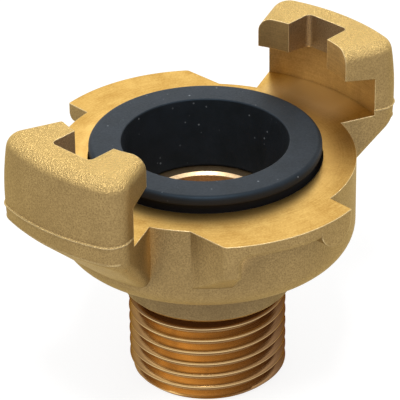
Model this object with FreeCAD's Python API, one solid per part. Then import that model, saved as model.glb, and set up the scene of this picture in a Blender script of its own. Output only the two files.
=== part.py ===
import FreeCAD, Part
import math
import os

# Garden hose quick connector with an external thread, in millimetres and degrees.
# One forged brass body carries two hooked claws and two ramped wings, and locks to an
# identical coupling with a short turn. A rubber form seal stands proud of its face.
# +Z is up, the origin is the middle of the threaded end, and the claws are on +X and -X.

# Threaded spigot, at the major diameter of the G 1/2 pipe thread
THREAD_DIAMETER = 20.955
SPIGOT_LENGTH = 13.0
END_CHAMFER = 0.9
BORE_RADIUS = 7.8
BORE_CHAMFER = 0.4
RELIEF_RADIUS = 9.25
RELIEF_WIDTH = 1.2

# Collar whose land takes a ring that has passed the thread, and the bowl above it
LAND_CLEARANCE = 0.1
COLLAR_RADIUS = 11.44
COLLAR_CHAMFER = 0.5
COLLAR_FILLET = 1.5
SHOULDER_HEIGHT = 18.8
RIM_RADIUS = 19.6
RIM_DEPTH = 9.05
BOWL_RADIUS = 3.1
BOWL_SLOPE = 25.0

# Seat of the form seal in the face: a narrower mouth over an undercut groove
MOUTH_RADIUS = 15.25
MOUTH_DEPTH = 1.3
GROOVE_RADIUS = 16.4
SEAT_DEPTH = 7.2

# Form seal
SEAL_CLEARANCE = 0.12
SEAL_STAND = 2.27
SEAL_BORE_TOP = 10.9
SEAL_BORE_BOTTOM = 9.5
SEAL_NECK_GAP = 0.85
SEAL_LIP_OVERHANG = 0.75
SEAL_LIP_HEIGHT = 1.33
SEAL_TOP_FILLET = 0.6
SEAL_FOOT_CHAMFER = 0.5

# Claws: blocks on the rim, undercut by a slot, with a notch through the lip. Depths are
# below the face: of the outer wall's foot, and of the underside where it meets the rim.
CLAW_RADIUS = 28.6
CLAW_WALL_DEPTH = 1.33
CLAW_FOOT_DEPTH = 9.3
CLAW_HEIGHT = 10.3
CLAW_HALF_ANGLE = 22.5
CLAW_WIDEST_HEIGHT = 0.9
CLAW_TOP_TAPER = 0.75
CLAW_FOOT_TAPER = 0.15
CLAW_CORNER = 2.6
CLAW_TOP_FILLET = 2.0
CLAW_BOTTOM_FILLET = 1.6
LIP_RADIUS = 20.2
SLOT_RADIUS = 24.6
SLOT_HEIGHT = 5.42
SLOT_RISE = 0.6
NOTCH_WIDTH = 6.8
NOTCH_RADIUS = 24.0
NOTCH_CORNER = 0.8

# Wings that the other coupling's lips hook under, each with a ramp, a nub and a stop
WING_RADIUS = 23.65
WING_LEAD_DROP = 0.4
WING_LEAD_ANGLE = -84.9
WING_ROOT_ANGLE = -82.1
WING_THICKNESS = 2.05
WING_RAMP = 1.0
STOP_OFFSET = 15.5
STOP_WIDTH = 2.2
STOP_WALL_DEPTH = 4.75
STOP_FOOT_DEPTH = 8.4
STOP_CORNER = 0.8
STOP_FILLET = 0.5
POCKET_CORNER = 1.2
NUB_ANGLE = -91.9
NUB_RADIUS = 2.85
NUB_DEPTH = 3.92

# How far a cut runs past what it cuts, how near a point must lie to count as on a face,
# and the least rise for its length of an edge that counts as upright
OVERRUN = 1.0
OVERTURN = 5.0
NEAR = 0.01
UPRIGHT = 0.99

# Places that follow from the sizes above
THREAD_RADIUS = THREAD_DIAMETER / 2
FACE = SPIGOT_LENGTH + SHOULDER_HEIGHT
SEAT = FACE - SEAT_DEPTH
ROOT_RADIUS = (MOUTH_RADIUS + RIM_RADIUS) / 2
REACH = CLAW_RADIUS + CLAW_HEIGHT
UP = FreeCAD.Vector(0, 0, 1)
ORIGIN = FreeCAD.Vector(0, 0, 0)


def in_section(radius, height):
    """A point of a turned profile, in the plane that holds the axis and +X."""
    return FreeCAD.Vector(radius, 0, height)


def around(radius, angle, height=0.0):
    """A point at a radius and an angle about the axis."""
    turn = math.radians(angle)
    return FreeCAD.Vector(radius * math.cos(turn), radius * math.sin(turn), height)


def closed_face(edges):
    """The flat face inside a ring of edges."""
    return Part.Face(Part.Wire(edges))


def straight_edges(points):
    """Straight edges that join the points and return to the first."""
    ends = points[1:] + points[:1]
    return [Part.LineSegment(a, b).toShape() for a, b in zip(points, ends)]


def turned(points, start=0.0, sweep=360.0):
    """A straight-sided profile turned about the axis, from start, by sweep degrees."""
    profile = closed_face(straight_edges([in_section(r, z) for r, z in points]))
    profile.rotate(ORIGIN, UP, start)
    return profile.revolve(ORIGIN, UP, sweep)


def middle_of(edge):
    """The point halfway along an edge."""
    return edge.valueAt((edge.FirstParameter + edge.LastParameter) / 2)


def edges_at(shape, test):
    """The edges whose middle point passes the test, given its radius, height and point."""
    chosen = []
    for edge in shape.Edges:
        point = middle_of(edge)
        if test(math.hypot(point.x, point.y), point.z, point):
            chosen.append(edge)
    return chosen


def is_upright(edge):
    """Whether an edge runs along the axis at its middle."""
    return abs(edge.tangentAt((edge.FirstParameter + edge.LastParameter) / 2).z) > UPRIGHT


def underside(radius, wall_radius, wall_depth, foot_depth):
    """Point on a cone under the face, from its depth at the rim to its depth at an outer wall."""
    outward = (radius - RIM_RADIUS) / (wall_radius - RIM_RADIUS)
    return in_section(radius, FACE - foot_depth + (foot_depth - wall_depth) * outward)


def turn_of(point):
    """The angle of a point about the axis, in degrees from +X."""
    return math.degrees(math.atan2(point.y, point.x))


def both_sides(shape):
    """A shape and its copy half a turn round the axis."""
    other = shape.copy()
    other.rotate(ORIGIN, UP, 180)
    return [shape, other]


def core_profile():
    """Half section of the turned core: spigot, relief, collar, bowl and rim."""
    slope = math.radians(BOWL_SLOPE)
    normal = FreeCAD.Vector(math.sin(slope), 0, -math.cos(slope))

    bowl_centre = in_section(RIM_RADIUS - BOWL_RADIUS, FACE - RIM_DEPTH)
    half_turn = (math.pi / 2 - slope) / 2
    bowl_low = bowl_centre + normal * BOWL_RADIUS
    bowl_mid = bowl_centre + in_section(math.cos(half_turn), -math.sin(half_turn)) * BOWL_RADIUS
    rim_low = in_section(RIM_RADIUS, FACE - RIM_DEPTH)

    inner_radius = COLLAR_RADIUS + COLLAR_FILLET
    neck_radius = inner_radius - COLLAR_FILLET * math.sin(slope)
    neck_high = in_section(neck_radius, bowl_low.z - (bowl_low.x - neck_radius) * math.tan(slope))
    neck_centre = neck_high + normal * COLLAR_FILLET
    back = math.pi - half_turn
    neck_mid = neck_centre + in_section(math.cos(back), math.sin(back)) * COLLAR_FILLET
    neck_low = in_section(COLLAR_RADIUS, neck_centre.z)

    relief_low = SPIGOT_LENGTH - RELIEF_WIDTH
    runout = THREAD_RADIUS - RELIEF_RADIUS
    land_radius = THREAD_RADIUS + LAND_CLEARANCE
    lower = [
        in_section(0, 0),
        in_section(THREAD_RADIUS - END_CHAMFER, 0),
        in_section(THREAD_RADIUS, END_CHAMFER),
        in_section(THREAD_RADIUS, relief_low - runout / 2),
        in_section(RELIEF_RADIUS, relief_low),
        in_section(RELIEF_RADIUS, SPIGOT_LENGTH - (land_radius - RELIEF_RADIUS) / 2),
        in_section(land_radius, SPIGOT_LENGTH),
        in_section(COLLAR_RADIUS - COLLAR_CHAMFER, SPIGOT_LENGTH),
        in_section(COLLAR_RADIUS, SPIGOT_LENGTH + COLLAR_CHAMFER),
        neck_low,
    ]
    upper = [rim_low, in_section(RIM_RADIUS, FACE), in_section(0, FACE), lower[0]]
    edges = [Part.LineSegment(a, b).toShape() for a, b in zip(lower, lower[1:])]
    edges.append(Part.Arc(neck_low, neck_mid, neck_high).toShape())
    edges.append(Part.LineSegment(neck_high, bowl_low).toShape())
    edges.append(Part.Arc(bowl_low, bowl_mid, rim_low).toShape())
    edges += [Part.LineSegment(a, b).toShape() for a, b in zip(upper, upper[1:])]
    return closed_face(edges)


def seal_seat():
    """The cavity cut from above: mouth, undercut groove, seat and the bore's chamfer."""
    edge_radius = BORE_RADIUS + BORE_CHAMFER
    return turned([
        (0, SEAT - BORE_CHAMFER),
        (BORE_RADIUS, SEAT - BORE_CHAMFER),
        (edge_radius, SEAT),
        (GROOVE_RADIUS, SEAT),
        (GROOVE_RADIUS, FACE - MOUTH_DEPTH),
        (MOUTH_RADIUS, FACE - MOUTH_DEPTH),
        (MOUTH_RADIUS, FACE),
        (0, FACE),
    ])


def claw_block():
    """The solid block of the +X claw, with a slightly barrelled outer wall and round edges."""
    top = FACE + CLAW_HEIGHT
    low_radius = CLAW_RADIUS - CLAW_FOOT_TAPER
    wall_low = in_section(low_radius, FACE - CLAW_WALL_DEPTH)
    wall_mid = in_section(CLAW_RADIUS, FACE + CLAW_WIDEST_HEIGHT)
    wall_high = in_section(CLAW_RADIUS - CLAW_TOP_TAPER, top)
    inner = [
        wall_high,
        in_section(LIP_RADIUS, top),
        in_section(LIP_RADIUS, FACE),
        in_section(ROOT_RADIUS, FACE),
        underside(ROOT_RADIUS, low_radius, CLAW_WALL_DEPTH, CLAW_FOOT_DEPTH),
        wall_low,
    ]
    edges = [Part.Arc(wall_low, wall_mid, wall_high).toShape()]
    edges += [Part.LineSegment(a, b).toShape() for a, b in zip(inner, inner[1:])]
    profile = closed_face(edges)
    profile.rotate(ORIGIN, UP, -CLAW_HALF_ANGLE)
    block = profile.revolve(ORIGIN, UP, 2 * CLAW_HALF_ANGLE)

    sides = CLAW_HALF_ANGLE - NEAR
    corners = edges_at(block, lambda r, z, p: r > SLOT_RADIUS and FACE < z < top - NEAR
                       and abs(turn_of(p)) > sides)
    block = block.makeFillet(CLAW_CORNER, corners)
    crown = edges_at(block, lambda r, z, p: z > top - NEAR and r > LIP_RADIUS + NEAR)
    block = block.makeFillet(CLAW_TOP_FILLET, crown)
    hem = edges_at(block, lambda r, z, p: z < FACE - NEAR and r > ROOT_RADIUS + NEAR)
    return block.makeFillet(CLAW_BOTTOM_FILLET, hem)


def claw_slot():
    """The undercut behind the lip, with a roof that rises a little towards the lip."""
    roof = FACE + SLOT_HEIGHT
    front_roof = roof + SLOT_RISE
    half_sweep = CLAW_HALF_ANGLE + OVERTURN
    return turned([
        (ROOT_RADIUS, FACE),
        (SLOT_RADIUS, FACE),
        (SLOT_RADIUS, roof),
        (LIP_RADIUS, front_roof),
        (ROOT_RADIUS, front_roof),
    ], -half_sweep, 2 * half_sweep)


def claw_notch():
    """The notch through the middle of the lip, open at the top and into the slot."""
    length = NOTCH_RADIUS - ROOT_RADIUS
    start = FreeCAD.Vector(ROOT_RADIUS, -NOTCH_WIDTH / 2, FACE + SLOT_HEIGHT)
    notch = Part.makeBox(length, NOTCH_WIDTH, CLAW_HEIGHT, start)
    back = edges_at(notch, lambda r, z, p: p.x > NOTCH_RADIUS - NEAR
                    and abs(p.y) > NOTCH_WIDTH / 2 - NEAR)
    return notch.makeFillet(NOTCH_CORNER, back)


def claw():
    """The +X claw."""
    return claw_block().cut(claw_slot()).cut(claw_notch())


def stop_back(radius):
    """The angle, at a radius, of the stop's flat back."""
    return -90 - math.degrees(math.asin(STOP_OFFSET / radius))


def stop_front():
    """The angle of the stop's front, where the pocket under the wing ends."""
    return stop_back(WING_RADIUS) + math.degrees(STOP_WIDTH / WING_RADIUS)


def wing_plan():
    """The -Y wing's outline seen from above, made solid down past the foot of its stop."""
    lead = around(WING_RADIUS - WING_LEAD_DROP, WING_LEAD_ANGLE, FACE)
    stop_outer = around(WING_RADIUS, stop_back(WING_RADIUS), FACE)
    crest = around(WING_RADIUS, (WING_LEAD_ANGLE + stop_back(WING_RADIUS)) / 2, FACE)
    stop_root = around(ROOT_RADIUS, stop_back(ROOT_RADIUS), FACE)
    root_middle = around(ROOT_RADIUS, (WING_ROOT_ANGLE + stop_back(ROOT_RADIUS)) / 2, FACE)
    lead_root = around(ROOT_RADIUS, WING_ROOT_ANGLE, FACE)
    outline = closed_face([
        Part.Arc(lead, crest, stop_outer).toShape(),
        Part.LineSegment(stop_outer, stop_root).toShape(),
        Part.Arc(stop_root, root_middle, lead_root).toShape(),
        Part.LineSegment(lead_root, lead).toShape(),
    ])
    return outline.extrude(-UP * SHOULDER_HEIGHT)


def wing_pocket():
    """The space below the wing's plate, from past its leading end to the stop."""
    under = FACE - WING_THICKNESS
    inner = ROOT_RADIUS - OVERRUN
    bottom = under - SHOULDER_HEIGHT
    sweep = WING_ROOT_ANGLE + 3 * OVERTURN - stop_front()
    pocket = turned([(inner, bottom), (REACH, bottom), (REACH, under), (inner, under)], stop_front(), sweep)
    corner = edges_at(pocket, lambda r, z, p: z > under - NEAR and abs(turn_of(p) - stop_front()) < NEAR)
    pocket = pocket.makeFillet(POCKET_CORNER, corner)
    middle = (stop_front() + WING_ROOT_ANGLE) / 2
    pocket.rotate(around(0, 0, under), around(1, middle), -WING_RAMP)
    return pocket


def wing_nub():
    """The rounded nub under the wing's leading end, cut to the wing's outline."""
    axis_height = FACE - NUB_DEPTH + NUB_RADIUS
    bar = Part.makeCylinder(NUB_RADIUS, REACH, around(0, 0, axis_height), around(1, NUB_ANGLE))
    return bar.common(wing_plan())


def wing():
    """The -Y wing: a plate flush with the face, ending in a deeper stop."""
    low_root = underside(ROOT_RADIUS, WING_RADIUS, STOP_WALL_DEPTH, STOP_FOOT_DEPTH)
    low_wall = underside(WING_RADIUS + OVERRUN, WING_RADIUS, STOP_WALL_DEPTH, STOP_FOOT_DEPTH)
    above_cone = turned([
        (0, FACE),
        (low_wall.x, FACE),
        (low_wall.x, low_wall.z),
        (low_root.x, low_root.z),
        (0, low_root.z),
    ])
    stopped = wing_plan().common(above_cone).cut(wing_pocket())
    outer = edges_at(stopped, lambda r, z, p: r > RIM_RADIUS and turn_of(p) < stop_front() + OVERTURN)
    stopped = stopped.makeFillet(STOP_CORNER, [edge for edge in outer if is_upright(edge)])
    foot = edges_at(stopped, lambda r, z, p: r > RIM_RADIUS and z < FACE - STOP_WALL_DEPTH + NEAR)
    stopped = stopped.makeFillet(STOP_FILLET, foot)
    return stopped.fuse(wing_nub())


def coupling_body():
    """The one-piece forged body."""
    core = core_profile().revolve(ORIGIN, UP, 360)
    body = core.fuse(both_sides(claw()) + both_sides(wing())).removeSplitter()
    bore = Part.makeCylinder(BORE_RADIUS, FACE)
    return body.cut([seal_seat(), bore]).removeSplitter()


def rings_at(shape, radius, height):
    """The round edges of a turned shape that lie at a radius and a height."""
    return edges_at(shape, lambda r, z, p: abs(r - radius) < NEAR and abs(z - height) < NEAR)


def seal_ring():
    """The form seal: a foot and bead in the groove, a neck, and a lip above the face."""
    bead_radius = GROOVE_RADIUS - SEAL_CLEARANCE
    bead_top = FACE - MOUTH_DEPTH - SEAL_CLEARANCE
    neck_radius = MOUTH_RADIUS - SEAL_NECK_GAP
    lip_radius = neck_radius + SEAL_LIP_OVERHANG
    top = FACE + SEAL_STAND
    lip_low = top - SEAL_LIP_HEIGHT
    ring = turned([
        (SEAL_BORE_BOTTOM, SEAT),
        (bead_radius, SEAT),
        (bead_radius, bead_top),
        (neck_radius, bead_top),
        (neck_radius, lip_low),
        (lip_radius, lip_low),
        (lip_radius, top),
        (SEAL_BORE_TOP, top),
    ])
    foot = rings_at(ring, SEAL_BORE_BOTTOM, SEAT) + rings_at(ring, bead_radius, SEAT)
    ring = ring.makeChamfer(SEAL_FOOT_CHAMFER, foot)
    return ring.makeFillet(SEAL_TOP_FILLET, rings_at(ring, lip_radius, top))


os.makedirs("parts", exist_ok=True)
PIECES = {
    "coupling_body": coupling_body(),
    "seal_ring": seal_ring(),
}
for name, shape in PIECES.items():
    print(name, shape.isValid(), len(shape.Solids), "solid", round(shape.Volume, 1), "mm3")
    shape.exportStep("parts/" + name + ".step")
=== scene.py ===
"""Visual model of a forged brass claw coupling with an external thread and a rubber seal.

Sizes are in millimetres in the part's own frame: the origin is the middle of the threaded
end, +Z is up, and the claws are on +X and -X.
"""

import logging
import math
from collections import Counter
from dataclasses import dataclass
from enum import Enum
from functools import partial, partialmethod, reduce
from typing import Optional, Sequence, Union

import bmesh
import bpy
from mathutils import Matrix, Vector

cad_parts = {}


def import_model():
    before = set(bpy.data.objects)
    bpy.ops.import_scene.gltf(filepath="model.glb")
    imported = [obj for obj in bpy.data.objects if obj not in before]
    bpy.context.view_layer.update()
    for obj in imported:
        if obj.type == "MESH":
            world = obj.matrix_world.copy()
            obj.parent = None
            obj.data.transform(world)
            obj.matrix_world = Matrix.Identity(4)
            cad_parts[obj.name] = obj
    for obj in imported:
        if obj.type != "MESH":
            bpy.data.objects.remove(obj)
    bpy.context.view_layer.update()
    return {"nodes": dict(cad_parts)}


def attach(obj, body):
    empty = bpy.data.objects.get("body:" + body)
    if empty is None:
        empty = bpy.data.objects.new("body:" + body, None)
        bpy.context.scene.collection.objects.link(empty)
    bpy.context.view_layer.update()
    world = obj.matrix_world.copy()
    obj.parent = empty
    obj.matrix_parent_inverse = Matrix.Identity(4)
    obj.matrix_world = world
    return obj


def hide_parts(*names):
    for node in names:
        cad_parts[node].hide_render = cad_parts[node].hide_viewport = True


MM = 0.001
# Distances in metres at which points are welded, and are taken to lie on a cut.
WELD = 1e-6
ON_CUT = 1e-7
# The weight at which a normal follows its largest faces alone.
FACE_WEIGHT = 100
LOG = logging.getLogger("claw_coupling")

Colour = tuple[float, float, float]
# How many to the millimetre, how many finer layers, and how strong those are.
Noise = tuple[float, float, float]
# Where a range starts and ends, and then, unless it is 0 to 1, where it is carried to. A ramp
# whose name ends in rise reads how far a surface faces upward.
Ramp = tuple[float, ...]
Socket = bpy.types.NodeSocket
Term = Union[Socket, float, int, str, Sequence[float], bpy.types.Material]
Inputs = dict[Union[str, int], Term]


class Mix(Enum):
    """Kinds of mix: the places of the node's factor and two operands, and of its result."""

    FLOAT = ((0, 2, 3), 0)
    VECTOR = ((0, 4, 5), 1)
    RGBA = ((0, 6, 7), 2)


class NodeDraft:
    """Adds nodes to one tree and joins their sockets."""

    def __init__(self, tree: bpy.types.NodeTree) -> None:
        """Start with an empty tree."""
        self.tree = tree
        tree.nodes.clear()

    def node(
        self, kind: str, inputs: Optional[Inputs] = None, **settings: object
    ) -> bpy.types.Node:
        """Add a node and fill its inputs.

        Args:
            kind: The node's type.
            inputs: For each input's name or place, an output to link or a plain value.
            settings: Values of the node's properties.

        Returns:
            The node.
        """
        node = self.tree.nodes.new(kind)
        for name, value in settings.items():
            setattr(node, name, value)
        for place, term in (inputs or {}).items():
            if isinstance(term, bpy.types.NodeSocket):
                self.tree.links.new(term, node.inputs[place])
            else:
                node.inputs[place].default_value = term
        return node

    def math(self, operation: str, *terms: Term) -> Socket:
        """One step of arithmetic, under Blender's own name of the operation."""
        return self.node("ShaderNodeMath", dict(enumerate(terms)), operation=operation).outputs[0]

    def chained(self, operation: str, *terms: Term) -> Socket:
        """One operation carried through several terms, from the left."""
        return reduce(partial(self.math, operation), terms)

    product = partialmethod(chained, "MULTIPLY")
    total = partialmethod(chained, "ADD")
    less = partialmethod(chained, "SUBTRACT")
    ratio = partialmethod(chained, "DIVIDE")
    greatest = partialmethod(chained, "MAXIMUM")
    least = partialmethod(chained, "MINIMUM")

    def mix(self, kind: Mix, factor: Term, low: Term, high: Term, **settings: object) -> Socket:
        """Two terms mixed.

        Args:
            kind: What they are.
            factor: How much of the second there is.
            low: The first term.
            high: The second term.
            settings: Values of the node's properties.

        Returns:
            The mixed term.
        """
        places, result = kind.value
        terms = dict(zip(places, (factor, low, high)))
        return self.node("ShaderNodeMix", terms, data_type=kind.name, **settings).outputs[result]

    def dot(self, one: Term, other: Term) -> Socket:
        """The dot product of two vectors."""
        terms = {0: one, 1: other}
        return self.node("ShaderNodeVectorMath", terms, operation="DOT_PRODUCT").outputs["Value"]

    def joined(self, x: Term, y: Term, z: Term) -> Socket:
        """A vector from its three parts."""
        return self.node("ShaderNodeCombineXYZ", {"X": x, "Y": y, "Z": z}).outputs[0]

    def parts(self, vector: Term) -> tuple[Socket, Socket, Socket]:
        """The three parts of a vector."""
        outputs = self.node("ShaderNodeSeparateXYZ", {"Vector": vector}).outputs
        return outputs["X"], outputs["Y"], outputs["Z"]

    def ranged(self, value: Term, *ramp: float) -> Socket:
        """A value carried along a ramp, and held inside its end range."""
        return self.node("ShaderNodeMapRange", dict(enumerate((value, *ramp)))).outputs[0]


class FinishDraft(NodeDraft):
    """The nodes of one material, with its patterns in millimetres on the object's own axes."""

    samples = 8
    open_reach = 0.7
    open_ramp: Ramp = (0.2, 0.05)
    edge_ramp: Ramp = (0.99, 0.8)

    def __init__(self, name: str) -> None:
        """Start a material, and find a point's place in millimetres.

        Args:
            name: The material's name.
        """
        self.material = bpy.data.materials.new(name)
        self.material.use_nodes = True
        super().__init__(self.material.node_tree)
        terms = {"Vector": self.node("ShaderNodeTexCoord").outputs["Object"], "Scale": 1 / MM}
        self.point = self.node("ShaderNodeVectorMath", terms, operation="SCALE").outputs[0]

    def noise(self, *pattern: float, place: Optional[Socket] = None) -> Socket:
        """Smooth random variation between 0 and 1, at the object's own point or another."""
        terms = dict(
            zip(("Vector", "Scale", "Detail", "Roughness"), (place or self.point, *pattern))
        )
        return self.node("ShaderNodeTexNoise", terms).outputs[0]

    def cells(self, per_mm: float) -> Socket:
        """The distance to the nearest of randomly strewn points, in cells."""
        terms = {"Vector": self.point, "Scale": per_mm}
        return self.node("ShaderNodeTexVoronoi", terms).outputs["Distance"]

    def mixed(self, factor: Term, low: Term, high: Term, way: str = "MIX") -> Socket:
        """Two colours mixed in one of Blender's ways, by a factor that is the second's share."""
        low, high = ((*term, 1.0) if isinstance(term, tuple) else term for term in (low, high))
        return self.mix(Mix.RGBA, factor, low, high, blend_type=way)

    def radius(self) -> Socket:
        """The distance from the part's axis, in millimetres."""
        x, y, _ = self.parts(self.point)
        return self.math("SQRT", self.total(self.product(x, x), self.product(y, y)))

    def turned(self, fineness: float, changes: float) -> Socket:
        """Fine rings about the part's axis, as a turning tool leaves them.

        Args:
            fineness: Rings for each millimetre, on flats and walls alike.
            changes: How often a ring changes along the circle, for each radian.

        Returns:
            The rings, between 0 and 1.
        """
        x, y, z = self.parts(self.point)
        place = self.joined(
            self.product(self.radius(), fineness),
            self.product(z, fineness),
            self.product(self.math("ARCTAN2", y, x), changes),
        )
        return self.noise(1.0, 1.0, 0.5, place=place)

    def normal(self) -> Socket:
        """The surface's own normal."""
        return self.node("ShaderNodeNewGeometry").outputs["Normal"]

    def rounded(self, radius_mm: float) -> tuple[Socket, Socket]:
        """Outer edges softened in the shading alone.

        Args:
            radius_mm: The radius of the edges.

        Returns:
            The softened normal, and how close to an outer edge a point lies.
        """
        terms = {"Radius": radius_mm * MM}
        soft = self.node("ShaderNodeBevel", terms, samples=self.samples).outputs[0]
        straight = self.normal()
        outer = self.ranged(self.hollow(self.open_reach), *self.open_ramp)
        edge = self.ranged(self.dot(soft, straight), *self.edge_ramp)
        return self.mix(Mix.VECTOR, outer, straight, soft), self.product(edge, outer)

    def hollow(self, reach_mm: float) -> Socket:
        """How far a point is shut in by what stands round it.

        Args:
            reach_mm: How far away that is looked for.

        Returns:
            0 in the open, and up to 1 in a corner.
        """
        terms = {"Distance": reach_mm * MM}
        node = self.node("ShaderNodeAmbientOcclusion", terms, samples=self.samples)
        return self.less(1.0, node.outputs["AO"])

    def bumped(self, height: Term, depth_mm: float, normal: Term) -> Socket:
        """A normal roughened by a height between 0 and 1, which stands for a depth."""
        terms = {"Height": height, "Distance": depth_mm * MM, "Normal": normal}
        return self.node("ShaderNodeBump", terms).outputs[0]

    def finish(
        self, tone: Socket, roughness: Socket, normal: Socket, **fixed: Term
    ) -> bpy.types.Material:
        """Add the shader and the output.

        Args:
            tone: The base colour.
            roughness: The roughness.
            normal: The normal.
            fixed: Plain values, with an underscore for each space in the input's name.

        Returns:
            The material.
        """
        terms = {"Base Color": tone, "Roughness": roughness, "Normal": normal}
        terms |= {name.replace("_", " "): value for name, value in fixed.items()}
        shader = self.node("ShaderNodeBsdfPrincipled", terms).outputs[0]
        self.node("ShaderNodeOutputMaterial", {"Surface": shader})
        return self.material

    def metal(
        self, tone: Socket, roughness: Socket, normal: Socket, aslant: Colour
    ) -> bpy.types.Material:
        """The finished material of brass, with a tint for what is seen aslant."""
        return self.finish(tone, roughness, normal, Metallic=1.0, Specular_Tint=(*aslant, 1.0))


@dataclass(frozen=True)
class BlastedBrass:
    """A forged skin after blasting: matt, with wear on its edges, painted light on its tops and
    painted shade in its corners.

    The edges also carry a painted highlight, and the creases, the recesses and the collar under
    the bowl carry painted shade, with painted light far inside the widest hollows. The colours of
    that painted shade and light are factors, so that the grain still shows through them.
    """

    name: str = "blasted_brass"
    light: Colour = (0.41, 0.285, 0.120)
    dark: Colour = (0.23, 0.152, 0.062)
    # The next six colours: painted light on the tops, wear with a painted highlight on the edges,
    # painted shade in corners, painted light far inside hollows, painted shade in creases, and
    # painted shade on the collar.
    painted_top_light: Colour = (0.72, 0.50, 0.19)
    worn_and_lit_edge: Colour = (0.92, 0.74, 0.42)
    painted_shut_in_shade: Colour = (0.66, 0.66, 0.72)
    painted_hollow_light: Colour = (1.9, 1.85, 1.8)
    painted_crease_shade: Colour = (0.6, 0.58, 0.55)
    painted_collar_shade: Colour = (0.74, 0.74, 0.80)
    aslant: Colour = (1.0, 0.86, 0.56)
    grain: Noise = (5.5, 3.0, 0.65)
    grain_depth: float = 0.07
    grain_ramp: Ramp = (0.45, 0.95)
    pits_per_mm: float = 4.4
    pit_share: float = 0.5
    cloud: Noise = (0.22, 3.0, 0.5)
    cloud_ramp: Ramp = (0.3, 0.7, 0.0, 0.4)
    edge: float = 0.30
    lit_top_rise: Ramp = (0.2, 0.7)
    top_grain: Ramp = (0.35, 0.95, 0.3, 0.8)
    worn_and_lit_rise: Ramp = (-0.5, -0.2, 0.0, 0.85)
    collar_shade_radius: Ramp = (12.3, 11.8)
    wide_reach: float = 8.0
    wide_ramp: Ramp = (0.03, 0.33)
    hollow_light_ramp: Ramp = (0.30, 0.50)
    tight_reach: float = 1.8
    tight_ramp: Ramp = (0.08, 0.4)
    crease_ramp: Ramp = (0.3, 0.65)
    rough_rise: Ramp = (0.1, 0.6, 0.48, 0.33)
    peened_rise: Ramp = (0.1, 0.6, 0.8, 3.0)

    def material(self) -> bpy.types.Material:
        """Make the material.

        Returns:
            The material.
        """
        draft = FinishDraft(self.name)
        grain = draft.noise(*self.grain)
        height = draft.total(grain, draft.product(draft.cells(self.pits_per_mm), self.pit_share))
        tone = draft.mixed(draft.ranged(height, *self.grain_ramp), self.dark, self.light)
        cloud = draft.ranged(draft.noise(*self.cloud), *self.cloud_ramp)
        tone = draft.mixed(cloud, tone, self.dark)
        normal, edge = draft.rounded(self.edge)
        rise = draft.parts(normal)[2]
        # Painted light: surfaces that face upward are lightened towards a pale tone, more where
        # the grain stands high.
        grainy = draft.ranged(height, *self.top_grain)
        tops = draft.product(draft.ranged(rise, *self.lit_top_rise), grainy)
        tone = draft.mixed(tops, tone, self.painted_top_light)
        # Edges that do not face down are lightened: partly wear, partly a painted highlight.
        rubbed_and_lit = draft.product(edge, draft.ranged(rise, *self.worn_and_lit_rise))
        tone = draft.mixed(rubbed_and_lit, tone, self.worn_and_lit_edge)
        # Painted shade: the collar under the bowl, inside a radius of about 12 mm, is darkened.
        low = draft.ranged(draft.radius(), *self.collar_shade_radius)
        tone = draft.mixed(low, tone, self.painted_collar_shade, "MULTIPLY")
        # Painted shade in corners and recesses, read from occlusion, turning to painted light far
        # inside the widest hollows.
        wide, tight = draft.hollow(self.wide_reach), draft.hollow(self.tight_reach)
        shut = draft.ranged(wide, *self.wide_ramp)
        shut = draft.greatest(shut, draft.ranged(tight, *self.tight_ramp))
        painted_shelter = draft.mixed(draft.ranged(wide, *self.hollow_light_ramp), self.painted_shut_in_shade, self.painted_hollow_light)
        tone = draft.mixed(shut, tone, painted_shelter, "MULTIPLY")
        # Painted shade in tight creases.
        tone = draft.mixed(draft.ranged(tight, *self.crease_ramp), tone, self.painted_crease_shade, "MULTIPLY")
        rough = draft.ranged(rise, *self.rough_rise)
        peened = draft.product(height, draft.ranged(rise, *self.peened_rise))
        relief = draft.bumped(peened, self.grain_depth, normal)
        return draft.metal(tone, rough, relief, self.aslant)


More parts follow.
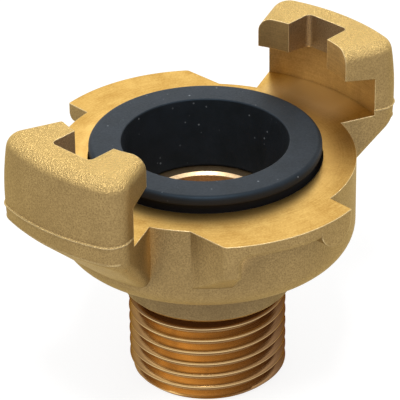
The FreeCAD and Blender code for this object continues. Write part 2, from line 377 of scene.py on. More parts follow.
@dataclass(frozen=True)
class TurnedBrass:
    """Brass cut on a lathe: satin, with fine rings about the axis, its edges lightened partly by
    wear and partly as a painted highlight.

    Its corners carry painted shade. On the face alone, the floor under one claw has a painted
    pale sheen, and the ring beside the seal has a tone of its own. As they stand here, their
    ramps lie where no point of the part does.
    """

    name: str
    light: Colour
    dark: Colour
    rings_per_mm: float = 5.0
    ring_changes: float = 3.0
    ring_depth: float = 0.004
    ring_share: float = 0.25
    blotch: Noise = (0.45, 3.0, 0.6)
    blotch_share: float = 0.4
    fine: Noise = (4.0, 3.0, 0.6)
    fine_share: float = 0.45
    tone_ramp: Ramp = (0.42, 0.68)
    roughness: float = 0.33
    rough_spread: tuple[float, float] = (0.06, -0.04)
    rough_ramp: Ramp = (0.35, 0.75)
    edge: float = 0.14
    edge_share: float = 0.8
    # Edges lightened partly by wear and partly as a painted highlight.
    rubbed_and_lit: Colour = (0.90, 0.72, 0.42)
    # Painted shade in corners, read from occlusion.
    painted_corner_shade: Colour = (0.20, 0.12, 0.045)
    corner_reach: float = 3.0
    corner_ramp: Ramp = (0.2, 0.9, 0.0, 0.9)
    aslant: Colour = (1.0, 0.86, 0.56)
    # A painted pale sheen on the face's floor under the claw on +X, and the ramps of where it
    # lies.
    painted_shelter_tone: Colour = (0.73, 0.56, 0.31)
    painted_shelter: Ramp = (40.0, 50.0)
    painted_shelter_sides: Ramp = (7.5, 4.0)
    polished: Colour = (0.86, 0.57, 0.20)
    pressed: Ramp = (-1.0, -2.0)

    def material(self) -> bpy.types.Material:
        """Make the material.

        Returns:
            The material.
        """
        draft = FinishDraft(self.name)
        rings = draft.turned(self.rings_per_mm, self.ring_changes)
        shade = draft.total(
            draft.product(rings, self.ring_share),
            draft.product(draft.noise(*self.blotch), self.blotch_share),
            draft.product(draft.noise(*self.fine), self.fine_share),
        )
        tone = draft.mixed(draft.ranged(shade, *self.tone_ramp), self.dark, self.light)
        # Painted light: a pale sheen on the floor under the claw on +X, between the claw's sides.
        x, y, _ = draft.parts(draft.point)
        under_claw = draft.ranged(x, *self.painted_shelter)
        between = draft.ranged(draft.math("ABSOLUTE", y), *self.painted_shelter_sides)
        tone = draft.mixed(draft.product(under_claw, between), tone, self.painted_shelter_tone)
        tone = draft.mixed(draft.ranged(draft.radius(), *self.pressed), tone, self.polished)
        normal, edge = draft.rounded(self.edge)
        # Edges lightened: partly wear, partly a painted highlight.
        tone = draft.mixed(draft.product(edge, self.edge_share), tone, self.rubbed_and_lit)
        # Painted shade in corners and under overhangs.
        corner = draft.ranged(draft.hollow(self.corner_reach), *self.corner_ramp)
        tone = draft.mixed(corner, tone, self.painted_corner_shade)
        ends = (self.roughness + more for more in self.rough_spread)
        rough = draft.ranged(shade, *self.rough_ramp, *ends)
        return draft.metal(tone, rough, draft.bumped(rings, self.ring_depth, normal), self.aslant)


@dataclass(frozen=True)
class ThreadBrass:
    """A cut thread: coppery flanks with random tarnished patches, a painted highlight on the thin
    crests, and painted shade on two sides, under each crest and in the roots.

    A ramp whose name ends in side reads how far a point lies towards the side that is painted in
    shade, and one whose name ends in drop how far it lies inside the crest's radius.
    """

    name: str = "thread_brass"
    # The first colour is a tone of the turning streaks and a painted highlight on the crests. The
    # third is painted shade under each crest, the fourth random tarnished patches with painted
    # shade on two sides, and the fifth painted shade in the roots and the relief.
    crest: Colour = (0.93, 0.70, 0.36)
    flank: Colour = (0.80, 0.48, 0.17)
    painted_shoulder_shade: Colour = (0.20, 0.11, 0.05)
    tarnish_and_side_shade: Colour = (0.13, 0.065, 0.035)
    root: Colour = (0.16, 0.085, 0.04)
    aslant: Colour = (0.40, 0.24, 0.10)
    crest_radius: float = 10.4775
    root_radius: float = 9.3155
    root_rounding: float = 0.2
    root_share: float = 0.8
    relief_shade_height: Ramp = (10.4, 11.4, 0.0, 0.95)
    streaks_per_mm: float = 7.0
    streak_changes: float = 2.0
    streak_depth: float = 0.004
    streak_ramp: Ramp = (0.3, 0.7)
    streak_share: float = 0.2
    streak_gloss: Ramp = (0.30, 0.20)
    patches: Noise = (0.16, 3.0, 0.6)
    patch_ramp: Ramp = (0.4, 0.7, 0.0, 0.5)
    shaded_side_way: tuple[float, float, float] = (0.69, -0.72, 0.0)
    shaded_side: Ramp = (-0.4, 0.95)
    other_shaded_side: Ramp = (-0.5, -0.85, 0.0, 0.7)
    hollow_reach: float = 3.0
    hollow_ramp: Ramp = (0.55, 0.95, 0.0, 0.8)
    shoulder_drop: Ramp = (0.45, 0.15)
    shoulder_rise: Ramp = (0.4, -0.05, 0.5, 0.8)
    highlight_drop: Ramp = (0.024, 0.008)
    highlight_side: Ramp = (0.4, 1.0, 1.0, 0.35)
    highlight_rise: Ramp = (-0.1, 0.1)

    def material(self) -> bpy.types.Material:
        """Make the material.

        Returns:
            The material.
        """
        draft = FinishDraft(self.name)
        radius = draft.radius()
        streaks = draft.turned(self.streaks_per_mm, self.streak_changes)
        normal = draft.normal()
        rise = draft.parts(normal)[2]
        # Painted shade in the thread's roots and in the relief under the collar.
        rounding = self.root_radius, self.root_radius + self.root_rounding
        depth = draft.ranged(radius, *rounding, self.root_share, 0.0)
        relief = draft.ranged(draft.parts(draft.point)[2], *self.relief_shade_height)
        depth = draft.greatest(depth, relief)
        patches = draft.noise(*self.patches)
        # Painted shade on the side turned from the light, and less on the other side; with random
        # tarnished patches it darkens the flanks.
        side = draft.ratio(draft.dot(draft.point, self.shaded_side_way), self.crest_radius)
        sides = draft.ranged(side, *self.shaded_side)
        sides = draft.greatest(sides, draft.ranged(side, *self.other_shaded_side))
        shade = draft.greatest(draft.ranged(patches, *self.patch_ramp), sides)
        streaky = draft.ranged(streaks, *self.streak_ramp, 0.0, self.streak_share)
        tone = draft.mixed(streaky, self.flank, self.crest)
        tone = draft.mixed(shade, tone, self.tarnish_and_side_shade)
        # Painted shade where the thread is shut in.
        hollow = draft.ranged(draft.hollow(self.hollow_reach), *self.hollow_ramp)
        tone = draft.mixed(draft.greatest(depth, hollow), tone, self.root)
        # Painted shade on the face just under each crest.
        outward = draft.ranged(radius, *(self.crest_radius - drop for drop in self.shoulder_drop))
        outward = draft.product(outward, draft.ranged(rise, *self.shoulder_rise))
        tone = draft.mixed(outward, tone, self.painted_shoulder_shade)
        # Painted highlight: a thin pale line on the upward half of each crest, fainter on the
        # shaded side.
        painted_crest_highlight = draft.product(
            draft.ranged(radius, *(self.crest_radius - drop for drop in self.highlight_drop)),
            draft.ranged(sides, *self.highlight_side),
            draft.ranged(rise, *self.highlight_rise),
        )
        tone = draft.mixed(painted_crest_highlight, tone, self.crest)
        rough = draft.ranged(streaks, *self.streak_ramp, *self.streak_gloss)
        relief = draft.bumped(streaks, self.streak_depth, normal)
        return draft.metal(tone, rough, relief, self.aslant)


@dataclass(frozen=True)
class MouldedRubber:
    """Black moulded rubber: dull, with a faint grain, a few specks of dust and painted shade
    where it is shut in.
    """

    name: str = "moulded_rubber"
    body: Colour = (0.006, 0.006, 0.006)
    faded: Colour = (0.010, 0.011, 0.013)
    # Painted shade where the rubber is shut in, and lighter painted shade on its outer side.
    painted_shut_in_shade: Colour = (0.004, 0.003, 0.003)
    outside: Colour = (0.022, 0.017, 0.014)
    outer_shade_radius: Ramp = (12.5, 14.3)
    dust: Colour = (0.22, 0.24, 0.26)
    specks_per_mm: float = 0.8
    speck_ramp: Ramp = (0.13, 0.07)
    strewn: Noise = (0.5, 1.0, 0.5)
    strewn_ramp: Ramp = (0.46, 0.6, 0.0, 0.8)
    cloud: Noise = (0.35, 3.0, 0.5)
    cloud_ramp: Ramp = (0.35, 0.65)
    grain: Noise = (3.5, 3.0, 0.6)
    grain_depth: float = 0.012
    rough_ramp: Ramp = (0.3, 0.7, 0.46, 0.58)
    shut_reach: float = 9.0
    shut_ramp: Ramp = (0.1, 0.5)
    shut_dulling: float = 0.42
    gloss: float = 0.30
    gloss_tint: Colour = (0.45, 0.72, 1.0)

    def material(self) -> bpy.types.Material:
        """Make the material.

        Returns:
            The material.
        """
        draft = FinishDraft(self.name)
        grain = draft.noise(*self.grain)
        cloud = draft.ranged(draft.noise(*self.cloud), *self.cloud_ramp)
        tone = draft.mixed(cloud, self.body, self.faded)
        specks = draft.ranged(draft.cells(self.specks_per_mm), *self.speck_ramp)
        strewn = draft.ranged(draft.noise(*self.strewn), *self.strewn_ramp)
        tone = draft.mixed(draft.product(specks, strewn), tone, self.dust)
        # Painted shade in the hollows, lighter towards the outside; the hollows are also made
        # duller.
        hollow = draft.hollow(self.shut_reach)
        outer = draft.ranged(draft.radius(), *self.outer_shade_radius)
        painted_shelter_tone = draft.mixed(outer, self.painted_shut_in_shade, self.outside)
        tone = draft.mixed(draft.ranged(hollow, *self.shut_ramp), tone, painted_shelter_tone)
        rough = draft.ranged(grain, *self.rough_ramp)
        dulled = draft.ranged(hollow, *self.shut_ramp, 0.0, self.shut_dulling)
        rough = draft.total(rough, dulled)
        relief = draft.bumped(grain, self.grain_depth, draft.normal())
        tint = (*self.gloss_tint, 1.0)
        return draft.finish(
            tone, rough, relief, Specular_IOR_Level=self.gloss, Specular_Tint=tint
        )


class GeometryDraft(NodeDraft):
    """A Geometry Nodes tree with named inputs."""

    def __init__(self, name: str) -> None:
        """Start a tree that takes and gives geometry.

        Args:
            name: The tree's name.
        """
        tree = bpy.data.node_groups.new(name, "GeometryNodeTree")
        super().__init__(tree)
        for way in ("INPUT", "OUTPUT"):
            tree.interface.new_socket("Geometry", in_out=way, socket_type="NodeSocketGeometry")
        self.given = self.node("NodeGroupInput")
        self.values: dict[str, Term] = {}

    def size(self, name: str, value: Term) -> Socket:
        """A named input of the tree, and the value that it gets.

        Args:
            name: The input's name.
            value: A number, a whole number or a material.

        Returns:
            The input, for use in the tree.
        """
        kinds = {int: "NodeSocketInt", float: "NodeSocketFloat"}
        kind = kinds.get(type(value), "NodeSocketMaterial")
        socket = self.tree.interface.new_socket(name, in_out="INPUT", socket_type=kind)
        self.values[socket.identifier] = value
        return self.given.outputs[name]

    def close(self, geometry: Socket, material: Socket) -> None:
        """End the tree with real geometry and its material.

        Args:
            geometry: What the tree has made.
            material: The input that holds its material.
        """
        real = self.node("GeometryNodeRealizeInstances", {"Geometry": geometry}).outputs[0]
        terms = {"Geometry": real, "Material": material}
        dressed = self.node("GeometryNodeSetMaterial", terms).outputs[0]
        self.node("NodeGroupOutput", {0: dressed})

    def mesh_from(self, source: bpy.types.Mesh) -> bpy.types.Mesh:
        """Run the tree on a mesh.

        Args:
            source: The mesh that goes in.

        Returns:
            The plain mesh that comes out.
        """
        carrier = bpy.data.objects.new(source.name, source)
        bpy.context.scene.collection.objects.link(carrier)
        modifier = carrier.modifiers.new("tree", "NODES")
        modifier.node_group = self.tree
        for identifier, value in self.values.items():
            modifier[identifier] = value
        bpy.context.view_layer.update()
        shown = carrier.evaluated_get(bpy.context.evaluated_depsgraph_get())
        mesh = bpy.data.meshes.new_from_object(shown)
        bpy.data.objects.remove(carrier)
        return mesh


@dataclass
class Thread:
    """The G 1/2 pipe thread, right-hand, with rounded crests and roots.

    Its grid starts some spare turns too low, and is pressed level at both ends.
    """

    material: bpy.types.Material
    pitch: float = 1.814
    major_radius: float = 10.4775
    minor_radius: float = 9.3155
    half_angle: float = 27.5
    rounding: float = 0.249
    start_height: float = 1.2126
    length: float = 12.275
    end_chamfer: float = 0.9
    runout_start: float = 11.95
    runout_radius: float = 9.3
    columns: int = 160
    rows_per_pitch: int = 16
    spare_turns: float = 2.0

    def mesh(self) -> bpy.types.Mesh:
        """Make the threaded sleeve, open at both ends.

        Returns:
            The sleeve's mesh.
        """
        lengths = {
            "Pitch": self.pitch,
            "Major Radius": self.major_radius,
            "Minor Radius": self.minor_radius,
            "Crest Rounding": self.rounding,
            "Crest Height": self.start_height,
            "Length": self.length,
            "End Chamfer": self.end_chamfer,
            "Runout Start": self.runout_start,
            "Runout Radius": self.runout_radius,
        }
        draft = GeometryDraft("thread")
        size = {name: draft.size(name, length * MM) for name, length in lengths.items()}
        columns = draft.size("Columns", self.columns)
        per_pitch = draft.size("Rows per Pitch", self.rows_per_pitch)
        material = draft.size("Material", self.material)

        whole = draft.math("CEIL", draft.ratio(size["Length"], size["Pitch"]))
        pitches = draft.total(whole, self.spare_turns)
        terms = {
            "Size X": 1.0,
            "Size Y": 1.0,
            "Vertices X": draft.total(columns, 1.0),
            "Vertices Y": draft.total(draft.product(pitches, per_pitch), 1.0),
        }
        grid = draft.node("GeometryNodeMeshGrid", terms).outputs["Mesh"]
        x, y, _ = draft.parts(draft.node("GeometryNodeInputPosition").outputs[0])
        turn = draft.total(x, 0.5)
        row = draft.product(draft.total(y, 0.5), pitches)
        climb = draft.total(draft.less(row, self.spare_turns), turn)
        height = draft.total(draft.product(climb, size["Pitch"]), size["Crest Height"])
        height = draft.least(draft.greatest(height, 0.0), size["Length"])

        major, runout = size["Major Radius"], size["Runout Start"]
        cone = draft.total(draft.less(major, size["End Chamfer"]), height)
        drop = draft.less(major, size["Runout Radius"])
        fall = draft.ratio(drop, draft.less(size["Length"], runout))
        past = draft.product(draft.less(height, runout), fall)
        radius = self.profile(draft, size, height, turn)
        radius = draft.least(radius, cone, draft.less(major, past))

        angle = draft.product(turn, math.tau)
        place = draft.joined(
            draft.product(radius, draft.math("COSINE", angle)),
            draft.product(radius, draft.math("SINE", angle)),
            height,
        )
        terms = {"Geometry": grid, "Position": place}
        wrapped = draft.node("GeometryNodeSetPosition", terms).outputs[0]
        terms = {"Geometry": wrapped, "Distance": WELD}
        sleeve = draft.node("GeometryNodeMergeByDistance", terms).outputs[0]
        draft.close(sleeve, material)
        return draft.mesh_from(bpy.data.meshes.new("thread"))

    def profile(
        self, draft: GeometryDraft, size: dict[str, Socket], height: Socket, turn: Socket
    ) -> Socket:
        """The thread's radius at a height and a turn.

        Args:
            draft: The tree.
            size: Its named inputs. The crest's height is the one at +X.
            height: The height of the point.
            turn: Its place round the axis, in turns.

        Returns:
            The radius.
        """
        pitch, rounding = size["Pitch"], size["Crest Rounding"]
        major, minor = size["Major Radius"], size["Minor Radius"]
        lean = math.radians(self.half_angle)
        phase = draft.less(draft.ratio(draft.less(height, size["Crest Height"]), pitch), turn)
        around = draft.less(draft.math("FRACT", draft.total(phase, 0.5)), 0.5)
        from_crest = draft.product(draft.math("ABSOLUTE", around), pitch)
        from_root = draft.less(draft.product(pitch, 0.5), from_crest)
        middle = draft.product(draft.total(major, minor), 0.5)
        sideways = draft.product(draft.less(from_root, from_crest), 0.5)
        flank = draft.total(middle, draft.ratio(sideways, math.tan(lean)))
        reach = draft.product(rounding, math.cos(lean))
        crest = draft.less(major, self.fallen(draft, rounding, from_crest))
        root = draft.total(minor, self.fallen(draft, rounding, from_root))
        at_crest = draft.math("LESS_THAN", from_crest, reach)
        at_root = draft.math("LESS_THAN", from_root, reach)
        radius = draft.mix(Mix.FLOAT, at_crest, flank, crest)
        return draft.mix(Mix.FLOAT, at_root, radius, root)

    def fallen(self, draft: GeometryDraft, rounding: Socket, distance: Socket) -> Socket:
        """How far a rounding of this radius has fallen at a distance from its middle."""
        rest = draft.less(draft.product(rounding, rounding), draft.product(distance, distance))
        return draft.less(rounding, draft.math("SQRT", draft.greatest(rest, 0.0)))


@dataclass
class SealRing:
    """The form seal: a foot in the groove, a recessed neck and a round-edged lip above the face.

    Its section is carried round a small rail, so it stands a rail's radius further in there.
    """

    seat: float = 24.6
    face: float = 31.8
    stand: float = 2.27
    bead_radius: float = 16.28
    bead_top: float = 30.38
    neck_radius: float = 14.4
    lip_radius: float = 15.15
    lip_height: float = 1.33
    bore_top: float = 10.9
    bore_bottom: float = 9.5
    roundings: tuple[float, ...] = (0.35, 0.45, 0.25, 0.15, 0.2, 0.3, 0.6, 0.22)
    fillet_steps: int = 5
    rail_radius: float = 1.0
    segments: int = 180
    crease: float = 35.0

    def outline(self) -> list[tuple[float, float]]:
        """The seal's section.

        Returns:
            A radius and a height for each corner.
        """
        top = self.face + self.stand
        low = top - self.lip_height
        return [
            (self.bore_bottom, self.seat),
            (self.bead_radius, self.seat),
            (self.bead_radius, self.bead_top),
            (self.neck_radius, self.bead_top),
            (self.neck_radius, low),
            (self.lip_radius, low),
            (self.lip_radius, top),
            (self.bore_top, top),
        ]

    def build(self, material: bpy.types.Material) -> bpy.types.Object:
        """Make the seal.

        Args:
            material: Its rubber.

        Returns:
            The seal.
        """
        points = [((r - self.rail_radius) * MM, -z * MM, 0.0) for r, z in self.outline()]
        ends = [(i, (i + 1) % len(points)) for i in range(len(points))]
        section = bpy.data.meshes.new("seal_section")
        section.from_pydata(points, ends, [])
        roundings = section.attributes.new("rounding", "FLOAT", "POINT")
        roundings.data.foreach_set("value", [rounding * MM for rounding in self.roundings])

        draft = GeometryDraft("seal")
        steps = draft.size("Fillet Steps", self.fillet_steps)
        segments = draft.size("Segments", self.segments)
        rail_radius = draft.size("Rail Radius", self.rail_radius * MM)
        rubber = draft.size("Material", material)
        terms = {"Mesh": draft.given.outputs["Geometry"]}
        line = draft.node("GeometryNodeMeshToCurve", terms).outputs[0]
        terms = {"Name": "rounding"}
        rounding = draft.node("GeometryNodeInputNamedAttribute", terms, data_type="FLOAT")
        terms = {"Curve": line, "Count": steps, "Radius": rounding.outputs[0]}
        soft = draft.node("GeometryNodeFilletCurve", terms, mode="POLY").outputs[0]
        terms = {"Resolution": segments, "Radius": rail_radius}
        rail = draft.node("GeometryNodeCurvePrimitiveCircle", terms, mode="RADIUS")
        terms = {"Curve": rail.outputs["Curve"]}
        level = draft.node("GeometryNodeSetCurveNormal", terms, mode="Z_UP").outputs[0]
        terms = {"Curve": level, "Profile Curve": soft}
        draft.close(draft.node("GeometryNodeCurveToMesh", terms).outputs[0], rubber)
        return placed("seal", draft.mesh_from(section), self.crease)


class Surface(Enum):
    """The finishes of the brass body, in the order of its material slots."""

    BLASTED = 0
    FACE = 1
    SLOT = 2
    NOTCH = 3
    THREAD = 4
    BORE = 5


@dataclass(frozen=True)
class DieLine:
    """A thin ridge that the forging dies left along the outside of each claw.

    Its height is over the face, and its slope is how much it falls along the claw. Its facing
    is how squarely the wall has to face outward, for the ridge to be on it.
    """

    height: float
    slope: float
    stand: float
    facing: float
    width: float = 0.15
    least_share: float = 0.01


@dataclass
class CouplingBody:
    """The one-piece forged body, with its machined face, slots and thread.

    Near is the slack of the tests that sort its faces, and square is how squarely a flat or
    a wall has to face its way. The names that end in margin widen those tests at a fillet.
    """

    node: bpy.types.Object
    face: float = 31.8
    seat: float = 24.6
    relief_middle: float = 12.3
    collar_radius: float = 11.44
    collar_chamfer: float = 0.5
    spigot_length: float = 13.0
    bore_radius: float = 7.8
    bore_margin: float = 0.5
    groove_radius: float = 16.4
    lip_radius: float = 20.2
    lip_margin: float = 0.1
    slot_radius: float = 24.6
    slot_margin: float = 0.2
    slot_roof: float = 37.22
    roof_over_face: float = 4.0
    claw_top: float = 42.1
    notch_width: float = 6.8
    notch_radius: float = 24.0
    wall_under_face: float = 3.0
    wall_under_top: float = 0.5
    near: float = 0.02
    square: float = 0.9
    upright_notch: float = 0.5
    upright_wall: float = 0.75
    crease: float = 34.0
    lines: tuple[DieLine, ...] = (
        DieLine(height=1.07, slope=0.04, stand=0.18, facing=-1.0),
        DieLine(height=-1.15, slope=0.0, stand=0.12, facing=0.35),
    )

    def build(self, finishes: dict[Surface, bpy.types.Material]) -> bpy.types.Object:
        """Make the body.

        Args:
            finishes: A material for each surface.

        Returns:
            The body.
        """
        mesh = bmesh.new()
        mesh.from_mesh(self.node.data)
        bmesh.ops.remove_doubles(mesh, verts=mesh.verts, dist=WELD)
        bmesh.ops.dissolve_degenerate(mesh, edges=mesh.edges, dist=ON_CUT)
        self.strip_spigot(mesh)
        self.sort_surfaces(mesh)
        for line in self.lines:
            self.raise_line(mesh, line)
        self.add_thread(mesh, finishes[Surface.THREAD])
        bmesh.ops.recalc_face_normals(mesh, faces=mesh.faces)
        result = bpy.data.meshes.new("body")
        mesh.to_mesh(result)
        mesh.free()
        for surface in Surface:
            result.materials.append(finishes[surface])
        return placed("body", result, self.crease)

    def strip_spigot(self, mesh: bmesh.types.BMesh) -> None:
        """Take away the spigot's plain outside, up to where the thread ends in its relief.

        Args:
            mesh: The body.
        """
        limit = (self.relief_middle + self.near) * MM
        bore = (self.bore_radius + self.near) * MM
        bmesh.ops.bisect_plane(
            mesh,
            geom=[*mesh.verts, *mesh.edges, *mesh.faces],
            dist=ON_CUT,
            plane_co=(0, 0, self.relief_middle * MM),
            plane_no=(0, 0, 1),
        )
        spigot = [f for f in mesh.faces if all(v.co.z < limit for v in f.verts)]
        plain = [f for f in spigot if any(v.co.xy.length > bore for v in f.verts)]
        bmesh.ops.delete(mesh, geom=plain, context="FACES")

    def surface_of(self, centre: Vector, normal: Vector) -> Surface:
        """The finish of a face.

        Args:
            centre: The face's middle, in millimetres.
            normal: Its normal.

        Returns:
            The finish.
        """
        radius = centre.xy.length
        on_face = abs(centre.z - self.face) < self.near and normal.z > self.square
        in_depth = self.seat - self.near < centre.z < self.face
        in_seat = radius < self.groove_radius + self.near and in_depth
        on_seat = in_seat and centre.z < self.seat + self.near and normal.z > self.square
        in_bore = radius < self.bore_radius + self.bore_margin and centre.z < self.seat
        in_relief = centre.z < self.spigot_length + self.collar_chamfer
        if on_seat or in_bore:
            return Surface.BORE
        if on_face or in_seat:
            return Surface.FACE
        if in_relief and radius < self.collar_radius - self.near:
            on_spigot = centre.z < self.spigot_length - self.near
            return Surface.THREAD if on_spigot else Surface.FACE
        if centre.z > self.face + self.near:
            return self.claw_surface_of(centre, normal)
        return Surface.BLASTED

    def claw_surface_of(self, centre: Vector, normal: Vector) -> Surface:
        """The finish of a face that lies above the coupling's own face.

        Args:
            centre: The face's middle, in millimetres.
            normal: Its normal.

        Returns:
            The finish.
        """
        radius = centre.xy.length
        in_lip = self.lip_radius - self.lip_margin < abs(centre.x) < self.notch_radius + self.near
        in_notch = in_lip and abs(centre.y) < self.notch_width / 2 + self.near
        over_roof = self.slot_roof < centre.z < self.claw_top - self.near
        if in_notch and over_roof and abs(normal.z) < self.upright_notch:
            return Surface.NOTCH
        inward = normal.xy.dot(centre.xy) < -self.square * radius
        lip_wall = radius < self.lip_radius + self.near
        slot_wall = radius > self.slot_radius - self.slot_margin
        roof = normal.z < -self.square and centre.z > self.face + self.roof_over_face
        cut = roof or (inward and (lip_wall or slot_wall))
        if radius < self.slot_radius + self.near and cut:
            return Surface.SLOT
        return Surface.BLASTED

    def sort_surfaces(self, mesh: bmesh.types.BMesh) -> None:
        """Give each face its finish.

        Args:
            mesh: The body.
        """
        mesh.normal_update()
        for face in mesh.faces:
            surface = self.surface_of(face.calc_center_median() / MM, face.normal)
            face.material_index = surface.value

    def raise_line(self, mesh: bmesh.types.BMesh, line: DieLine) -> None:
        """Raise a line on both claws.

        Args:
            mesh: The body.
            line: The line.
        """
        middle = Vector((0, 0, (self.face + line.height) * MM))
        inside = (self.slot_radius + self.near) * MM
        for side in (1, -1):
            along = Vector((0.0, -side * line.slope, 1.0)).normalized()
            for step in (-1, 0, 1):
                faces = [f for f in mesh.faces if self.is_claw_wall(f, side)]
                rim = {e for f in faces for e in f.edges} | {v for f in faces for v in f.verts}
                level = self.face + line.height + step * line.width
                bmesh.ops.bisect_plane(
                    mesh,
                    geom=faces + list(rim),
                    dist=ON_CUT,
                    plane_co=(0, 0, level * MM),
                    plane_no=along,
                )
            mesh.normal_update()
            for vertex in {v for f in mesh.faces if self.is_claw_wall(f, side) for v in f.verts}:
                share = 1 - abs((vertex.co - middle).dot(along)) / (line.width * MM)
                beyond = vertex.co.xy.length > inside
                if share > line.least_share and beyond and vertex.normal.x * side > line.facing:
                    vertex.co += vertex.normal * line.stand * share * MM

    def is_claw_wall(self, face: bmesh.types.BMFace, side: int) -> bool:
        """Whether a face belongs to the outer wall or the ends of one claw.

        Args:
            face: The face.
            side: 1 for the claw on +X, and -1 for the other.

        Returns:
            True if it does.
        """
        centre = face.calc_center_median() / MM
        outside = centre.xy.length > self.slot_radius + self.near
        bottom, top = self.face - self.wall_under_face, self.claw_top - self.wall_under_top
        upright = abs(face.normal.z) < self.upright_wall
        return outside and bottom < centre.z < top and upright and centre.x * side > 0

    def add_thread(self, mesh: bmesh.types.BMesh, material: bpy.types.Material) -> None:
        """Add the threaded sleeve and close both of its ends onto the body.

        Args:
            mesh: The body.
            material: The thread's finish.
        """
        thread = Thread(material)
        known = set(mesh.faces)
        mesh.from_mesh(thread.mesh())
        fresh = [f for f in mesh.faces if f not in known]
        open_edges = [e for e in mesh.edges if e.is_boundary]
        split = thread.length / 2 * MM
        for low in (True, False):
            rim = [e for e in open_edges if (e.verts[0].co.z < split) == low]
            fresh += bmesh.ops.bridge_loops(mesh, edges=rim)["faces"]
        for face in fresh:
            face.material_index = Surface.THREAD.value


def placed(name: str, mesh: bpy.types.Mesh, crease: float) -> bpy.types.Object:
    """Put a mesh into the scene, smooth but for its sharp edges.

    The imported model's own normals go, and the new ones are weighted by the size of the faces.

    Args:
        name: The object's name.
        mesh: Its mesh.
        crease: The angle from which an edge stays sharp, in degrees.

    Returns:
        The object.
    """
    packed = mesh.attributes.get("custom_normal")
    if packed:
        mesh.attributes.remove(packed)
    mesh.shade_smooth()
    mesh.set_sharp_from_angle(angle=math.radians(crease))
    piece = bpy.data.objects.new(name, mesh)
    bpy.context.scene.collection.objects.link(piece)
    weigh = piece.modifiers.new("weigh", "WEIGHTED_NORMAL")
    weigh.keep_sharp = True
    weigh.weight = FACE_WEIGHT
    graph = bpy.context.evaluated_depsgraph_get()
    shaded = bpy.data.meshes.new_from_object(
        piece.evaluated_get(graph), preserve_all_data_layers=True, depsgraph=graph
    )
    piece.modifiers.clear()
    piece.data = shaded
    return piece


@dataclass(frozen=True)
class Softbox:
    """A square soft light that faces the part, in metres and watts."""

    name: str
    place: tuple[float, float, float]
    size: float
    power: float

    def hang(self) -> None:
        """Put the light into the scene."""
        light = bpy.data.lights.new(self.name, "AREA")
        light.shape = "SQUARE"
        light.size = self.size
        light.energy = self.power
        lamp = bpy.data.objects.new(self.name, light)
        lamp.location = self.place
        lamp.rotation_euler = (-Vector(self.place)).to_track_quat("-Z", "Y").to_euler()
        bpy.context.scene.collection.objects.link(lamp)


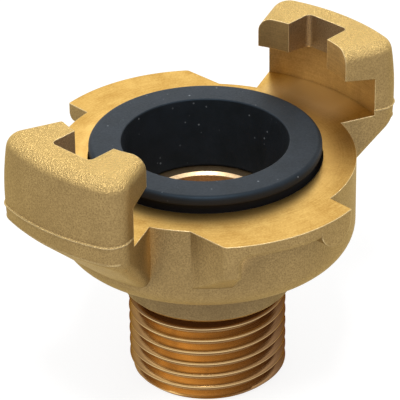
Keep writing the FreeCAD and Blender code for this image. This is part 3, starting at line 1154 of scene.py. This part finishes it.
@dataclass
class Studio:
    """A pale floor, soft light from above and the camera at the photograph's angle.

    The camera's distance and its shifts are in millimetres from the middle of the face. The
    room is the floor's side, in metres.
    """

    face_height: float = 31.8
    azimuth: float = -46.25
    elevation: float = 30.21
    distance: float = 366.0
    shift_right: float = -0.78
    shift_up: float = -6.88
    roll: float = -0.75
    lens: float = 251.6
    sensor: float = 36.0
    clip_start: float = 0.01
    room: float = 6.0
    sky_light: float = 0.22
    floor_tone: Colour = (0.25, 0.25, 0.25)
    floor_glow: float = 0.86
    lights: tuple[Softbox, ...] = (
        Softbox("overhead", (-0.05, -0.04, 0.55), size=1.2, power=2.4),
        Softbox("key", (-0.16, -0.13, 0.50), size=0.12, power=1.45),
        Softbox("behind", (0.36, 0.36, 0.34), size=0.45, power=0.5),
    )

    def build(self) -> None:
        """Make the floor, the light and the camera."""
        bpy.context.scene.view_settings.view_transform = "Standard"
        self.add_floor()
        self.add_sky()
        for light in self.lights:
            light.hang()
        self.add_camera()

    def seen(self, draft: NodeDraft) -> Socket:
        """1 for rays of the camera, of gloss and of glass, and otherwise 0."""
        path = draft.node("ShaderNodeLightPath").outputs
        kinds = "Camera", "Glossy", "Transmission"
        return draft.greatest(*(path[f"Is {kind} Ray"] for kind in kinds))

    def add_sky(self) -> None:
        """White all round for the eye, and an even grey for the light."""
        world = bpy.data.worlds.new("studio")
        world.use_nodes = True
        world.cycles.sampling_method = "NONE"
        bpy.context.scene.world = world
        draft = NodeDraft(world.node_tree)
        strength = draft.ranged(self.seen(draft), 0.0, 1.0, self.sky_light, 1.0)
        terms = {"Color": (1.0, 1.0, 1.0, 1.0), "Strength": strength}
        sky = draft.node("ShaderNodeBackground", terms).outputs[0]
        draft.node("ShaderNodeOutputWorld", {"Surface": sky})

    def add_floor(self) -> None:
        """A pale floor that keeps the part's shadow."""
        half = self.room / 2
        square = [(x * half, y * half, 0) for x, y in ((-1, -1), (1, -1), (1, 1), (-1, 1))]
        mesh = bpy.data.meshes.new("floor")
        mesh.from_pydata(square, [], [(0, 1, 2, 3)])
        floor = bpy.data.objects.new("floor", mesh)
        bpy.context.scene.collection.objects.link(floor)
        material = bpy.data.materials.new("pale_floor")
        material.use_nodes = True
        material.cycles.emission_sampling = "NONE"
        draft = NodeDraft(material.node_tree)
        terms = {"Color": (*self.floor_tone, 1.0)}
        matt = draft.node("ShaderNodeBsdfDiffuse", terms).outputs[0]
        terms = {"Strength": draft.product(self.seen(draft), self.floor_glow)}
        glow = draft.node("ShaderNodeEmission", terms).outputs[0]
        both = draft.node("ShaderNodeAddShader", {0: matt, 1: glow}).outputs[0]
        draft.node("ShaderNodeOutputMaterial", {"Surface": both})
        mesh.materials.append(material)

    def add_camera(self) -> None:
        """The camera, with its roll and its place fitted to the photograph."""
        turn, rise = math.radians(self.azimuth), math.radians(self.elevation)
        level = math.cos(rise)
        back = Vector((math.sin(turn) * level, -math.cos(turn) * level, math.sin(rise)))
        right = (-back).cross(Vector((0, 0, 1))).normalized()
        up = right.cross(-back)
        place = back * self.distance + right * self.shift_right
        place.z += self.shift_up + self.face_height
        lean = math.radians(self.roll)
        across = right * math.cos(lean) + up * math.sin(lean)
        upward = up * math.cos(lean) - right * math.sin(lean)
        lens = bpy.data.cameras.new("camera")
        lens.lens = self.lens
        lens.sensor_width = self.sensor
        lens.sensor_fit = "HORIZONTAL"
        lens.clip_start = self.clip_start
        camera = bpy.data.objects.new("camera", lens)
        facing = Matrix((across, upward, back)).transposed().to_4x4()
        camera.matrix_world = Matrix.Translation(place * MM) @ facing
        bpy.context.scene.collection.objects.link(camera)
        bpy.context.scene.camera = camera


def brass_finishes() -> dict[Surface, bpy.types.Material]:
    """Make the finishes of the brass body.

    Returns:
        A material for each surface.
    """
    face = TurnedBrass(
        "turned_face",
        light=(0.55, 0.355, 0.112),
        dark=(0.39, 0.218, 0.054),
        corner_reach=0.9,
        # The painted pale sheen under the claw on +X lies here.
        painted_shelter=(16.5, 20.0),
        pressed=(18.6, 16.4, 0.0, 0.3),
    )
    slot = TurnedBrass(
        "cut_slot",
        light=(0.60, 0.41, 0.18),
        dark=(0.40, 0.26, 0.11),
        roughness=0.42,
        # Painted shade far into the slots.
        painted_corner_shade=(0.20, 0.125, 0.065),
        corner_reach=8.0,
    )
    bore = TurnedBrass(
        "bored_wall", light=(0.78, 0.56, 0.33), dark=(0.52, 0.35, 0.19), roughness=0.36
    )
    notch = BlastedBrass(
        "forged_notch",
        light=(0.42, 0.30, 0.16),
        dark=(0.24, 0.165, 0.09),
        # Fainter painted shade and painted light in the notch's hollows.
        painted_shut_in_shade=(0.92, 0.92, 0.98),
        painted_hollow_light=(1.05, 1.05, 1.1),
        edge=0.15,
    )
    finishes = {
        Surface.BLASTED: BlastedBrass(),
        Surface.FACE: face,
        Surface.SLOT: slot,
        Surface.NOTCH: notch,
        Surface.THREAD: ThreadBrass(),
        Surface.BORE: bore,
    }
    return {surface: finish.material() for surface, finish in finishes.items()}


def add_piece(piece: bpy.types.Object, node: str) -> None:
    """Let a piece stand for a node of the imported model, and log whether it is closed.

    Args:
        piece: The piece.
        node: The node that it replaces.
    """
    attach(piece, "root")
    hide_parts(node)
    faces = piece.data.polygons
    uses = Counter(key for face in faces for key in face.edge_keys)
    loose = sum(1 for count in uses.values() if count != 2)
    LOG.info("%s: %d faces, %d edges not shared by two", piece.name, len(faces), loose)


def main() -> None:
    """Build the coupling and the studio."""
    logging.basicConfig(level=logging.INFO, format="%(name)s: %(message)s")
    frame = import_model()
    body = CouplingBody(frame["nodes"]["coupling_body"]).build(brass_finishes())
    add_piece(body, "coupling_body")
    seal = SealRing().build(MouldedRubber().material())
    add_piece(seal, "seal_ring")
    Studio().build()


if __name__ == "__main__":
    main()
